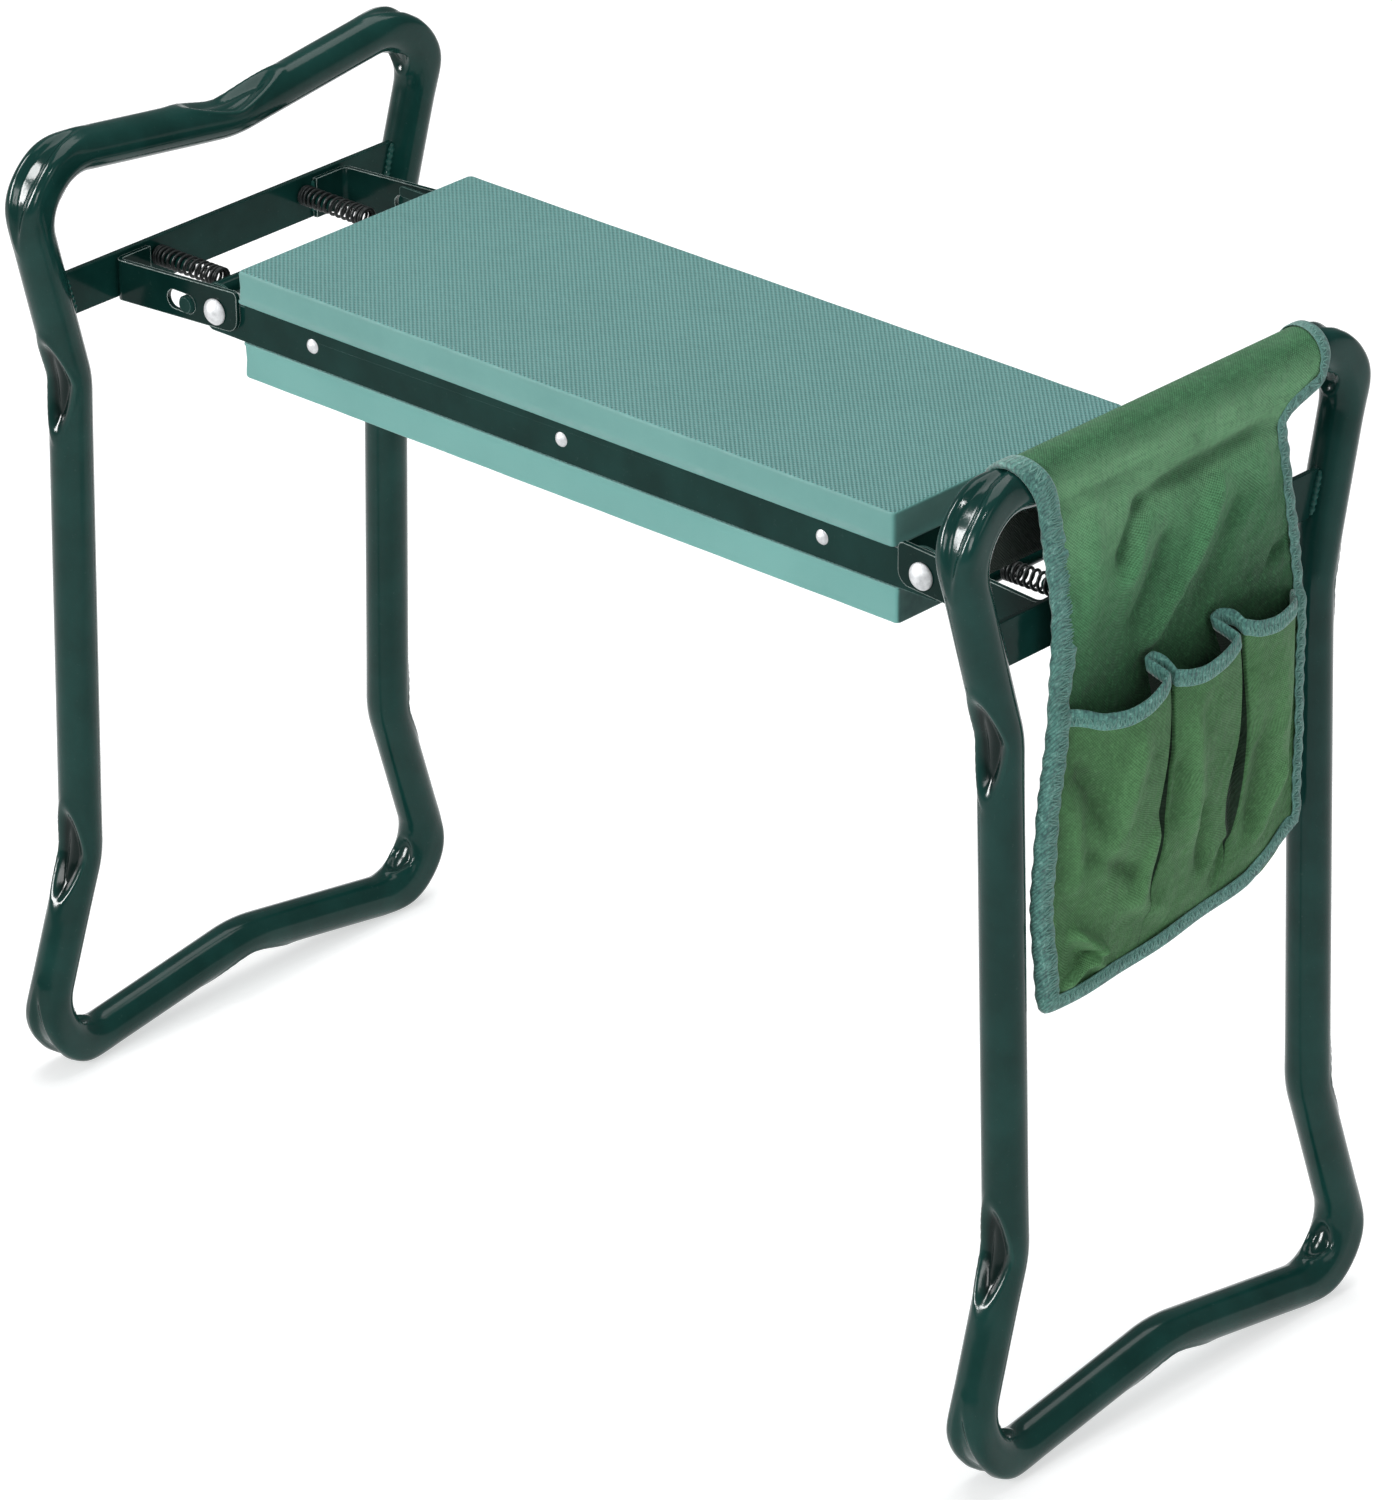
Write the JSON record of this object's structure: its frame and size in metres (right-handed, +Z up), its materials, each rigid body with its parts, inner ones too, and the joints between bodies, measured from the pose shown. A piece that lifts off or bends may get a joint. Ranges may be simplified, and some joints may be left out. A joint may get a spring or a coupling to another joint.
{
  "type": "folding garden kneeler seat",
  "caption": "Folding garden bench and kneeler: padded steel seat on looped tube end frames with sprung lock bars and a hanging tool pouch.",
  "frame": {"origin": "on the ground, below the middle of the seat, in its open use position", "axes": "+X along the seat towards the end with the tool pouch, +Y across the seat, +Z up"},
  "size_m": [0.6233, 0.2784, 0.4931],
  "materials": {
    "green_powder_coat": "gloss",
    "eva_foam": "matte",
    "zinc_fasteners": "satin",
    "black_spring_steel": "satin",
    "pouch_fabric": "matte",
    "binding_tape": "matte"
  },
  "bodies": {
    "seat": {"upper_pan": "green_powder_coat", "lower_pan": "green_powder_coat", "top_pad": "eva_foam", "bottom_pad": "eva_foam", "pan_rivets": "zinc_fasteners", "left_pivot_bolts": "zinc_fasteners", "left_pivot_washers": "zinc_fasteners", "left_pivot_nuts": "zinc_fasteners", "right_pivot_bolts": "zinc_fasteners", "right_pivot_washers": "zinc_fasteners", "right_pivot_nuts": "zinc_fasteners"},
    "left_frame": {"left_frame_tube": "green_powder_coat", "left_crossbar": "green_powder_coat", "left_front_hinge_arm": "green_powder_coat", "left_rear_hinge_arm": "green_powder_coat", "left_spring_studs": "green_powder_coat", "left_lock_springs": "black_spring_steel"},
    "left_lock": {"left_lock_bar": "green_powder_coat"},
    "right_frame": {"right_frame_tube": "green_powder_coat", "right_crossbar": "green_powder_coat", "right_front_hinge_arm": "green_powder_coat", "right_rear_hinge_arm": "green_powder_coat", "right_spring_studs": "green_powder_coat", "right_lock_springs": "black_spring_steel", "pouch_panel": "pouch_fabric", "pouch_binding": "binding_tape", "pouch_pockets": "pouch_fabric"},
    "right_lock": {"right_lock_bar": "green_powder_coat"}
  },
  "joints": [
    {"name": "left_fold", "type": "hinge", "parent": "seat", "child": "left_frame", "pos_m": [-0.2197, 0, 0.41142], "axis": [0, -1, 0], "range_deg": [0, 95]},
    {"name": "right_fold", "type": "hinge", "parent": "seat", "child": "right_frame", "pos_m": [0.2197, 0, 0.41142], "axis": [0, 1, 0], "range_deg": [0, 88]},
    {"name": "left_lock_slide", "type": "slide", "parent": "left_frame", "child": "left_lock", "axis": [-1, 0, 0], "range_m": [0, 0.009], "stiffness_N_per_m": 1000, "springref_m": -0.012, "deforming": ["left_lock_springs"]},
    {"name": "right_lock_slide", "type": "slide", "parent": "right_frame", "child": "right_lock", "axis": [1, 0, 0], "range_m": [0, 0.009], "stiffness_N_per_m": 1000, "springref_m": -0.012, "deforming": ["right_lock_springs"]}
  ]
}
